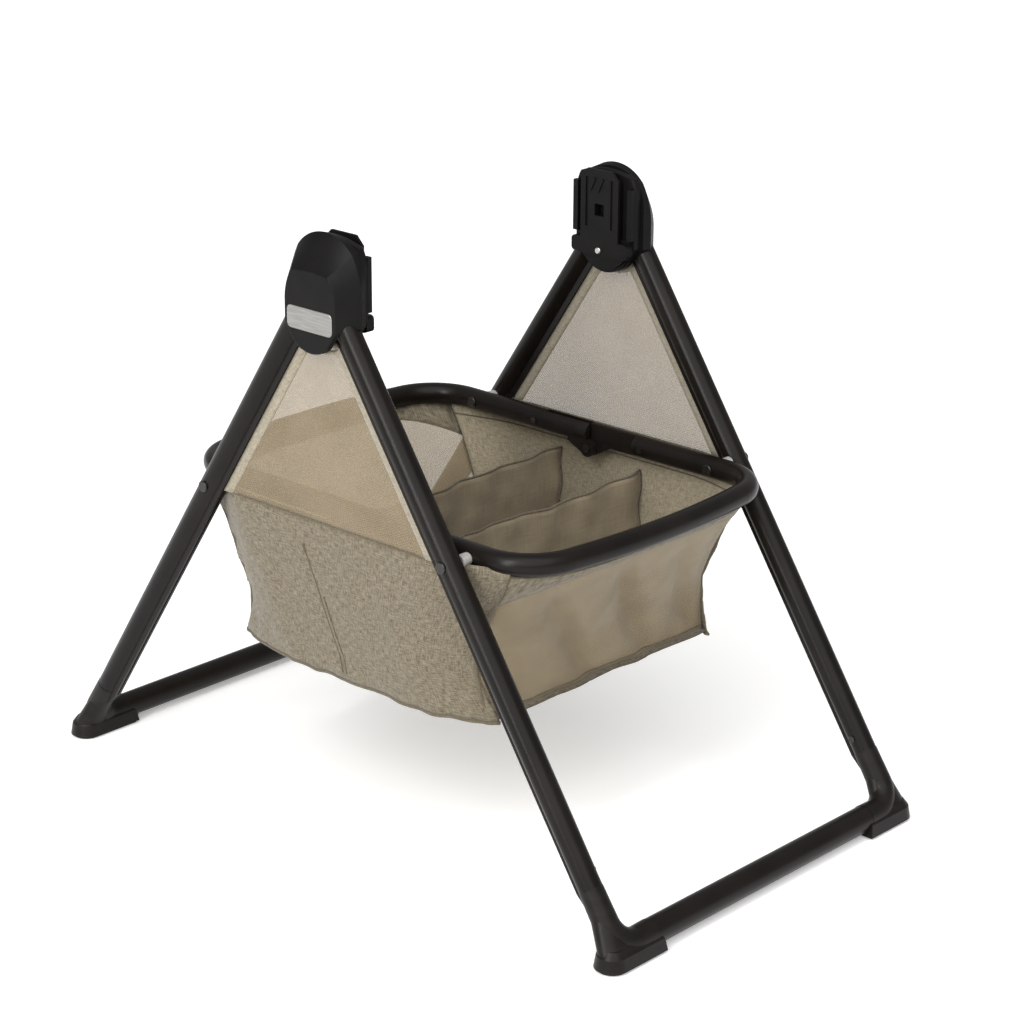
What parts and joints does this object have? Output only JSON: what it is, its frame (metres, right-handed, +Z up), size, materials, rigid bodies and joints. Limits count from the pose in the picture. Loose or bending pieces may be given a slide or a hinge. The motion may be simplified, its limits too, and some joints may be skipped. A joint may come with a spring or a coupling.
{
  "type": "folding bassinet stand",
  "caption": "Folding stand for a bassinet: crossed leg frames meet in hubs with inward mount posts, over a fabric storage basket on a folding rim.",
  "frame": {"origin": "on the floor, in the middle of the four feet", "axes": "+Z up; +X from the left hub to the right hub; +Y from the front base bar to the rear base bar"},
  "size_m": [0.524, 0.8824, 0.695],
  "materials": {
    "tube": "satin powder coat",
    "hub_plastic": "fine spark texture",
    "corner_plastic": "satin moulded",
    "hinge_plastic": "satin moulded",
    "rubber": "matte moulded",
    "badge": "satin anodised",
    "steel": "zinc plated",
    "black_steel": "black zinc plated",
    "spacer": "moulded",
    "bush": "moulded",
    "linen": "linen-look polyester weave",
    "mesh": "knitted net",
    "keder": "extruded cord"
  },
  "bodies": {
    "hubs": {"badge_plate_left": "badge", "badge_plate_right": "badge", "basket_end_front": "mesh", "basket_end_rear": "mesh", "basket_floor": "linen", "basket_liner_left": "linen", "basket_liner_right": "linen", "basket_side_left": "linen", "basket_side_right": "linen", "divider_front": "linen", "divider_rear": "linen", "fold_pins": "steel", "hub_cover_left": "hub_plastic", "hub_cover_right": "hub_plastic", "hub_housing_left": "hub_plastic", "hub_housing_right": "hub_plastic", "hub_screws": "steel", "mesh_panel_left": "mesh", "mesh_panel_right": "mesh", "mount_post_left": "hub_plastic", "mount_post_right": "hub_plastic"},
    "front_frame": {"front_base_bar": "tube", "front_corner_left": "corner_plastic", "front_corner_right": "corner_plastic", "front_corner_screws": "black_steel", "front_cross_pins": "steel", "front_foot_pad_left": "rubber", "front_foot_pad_right": "rubber", "front_keder_cords": "keder", "front_leg_knuckle_left": "hub_plastic", "front_leg_knuckle_right": "hub_plastic", "front_leg_left": "tube", "front_leg_right": "tube", "front_pivot_bushes": "bush", "front_rim_bolts": "black_steel", "front_rim_spacers": "spacer"},
    "rear_frame": {"rear_base_bar": "tube", "rear_corner_left": "corner_plastic", "rear_corner_right": "corner_plastic", "rear_corner_screws": "black_steel", "rear_cross_pins": "steel", "rear_foot_pad_left": "rubber", "rear_foot_pad_right": "rubber", "rear_keder_cords": "keder", "rear_leg_knuckle_left": "hub_plastic", "rear_leg_knuckle_right": "hub_plastic", "rear_leg_left": "tube", "rear_leg_right": "tube", "rear_pivot_bushes": "bush", "rear_rim_bolts": "black_steel", "rear_rim_spacers": "spacer"},
    "rim_front": {"rim_front_tube": "tube", "rim_hinge_tongue_left": "hinge_plastic", "rim_hinge_tongue_right": "hinge_plastic", "front_hinge_screws": "black_steel"},
    "rim_rear": {"rim_rear_tube": "tube", "rim_hinge_fork_left": "hinge_plastic", "rim_hinge_fork_right": "hinge_plastic", "rim_hinge_pins": "black_steel", "rear_hinge_screws": "black_steel"}
  },
  "joints": [
    {"name": "front_fold", "type": "hinge", "parent": "hubs", "child": "front_frame", "pos_m": [0, -0.02125, 0.622], "axis": [1, 0, 0], "range_deg": [0, 31], "deforming": ["mesh_panel_left", "mesh_panel_right", "basket_side_left", "basket_side_right", "basket_end_front", "basket_end_rear", "basket_liner_left", "basket_liner_right", "basket_floor", "divider_front", "divider_rear"]},
    {"name": "rear_fold", "type": "hinge", "parent": "hubs", "child": "rear_frame", "pos_m": [0, 0.02125, 0.622], "axis": [-1, 0, 0], "range_deg": [0, 31]},
    {"name": "rim_front_fold", "type": "hinge", "parent": "front_frame", "child": "rim_front", "pos_m": [0, -0.18456, 0.376], "axis": [1, 0, 0], "range_deg": [0, 53.6]},
    {"name": "rim_rear_fold", "type": "hinge", "parent": "rear_frame", "child": "rim_rear", "pos_m": [0, 0.18456, 0.376], "axis": [-1, 0, 0], "range_deg": [0, 53.6]}
  ],
  "couplings": [
    {"joint": "rear_fold", "follows": "front_fold", "ratio": 1},
    {"joint": "rim_front_fold", "follows": "front_fold", "ratio": 1.7266},
    {"joint": "rim_rear_fold", "follows": "front_fold", "ratio": 1.7266}
  ]
}
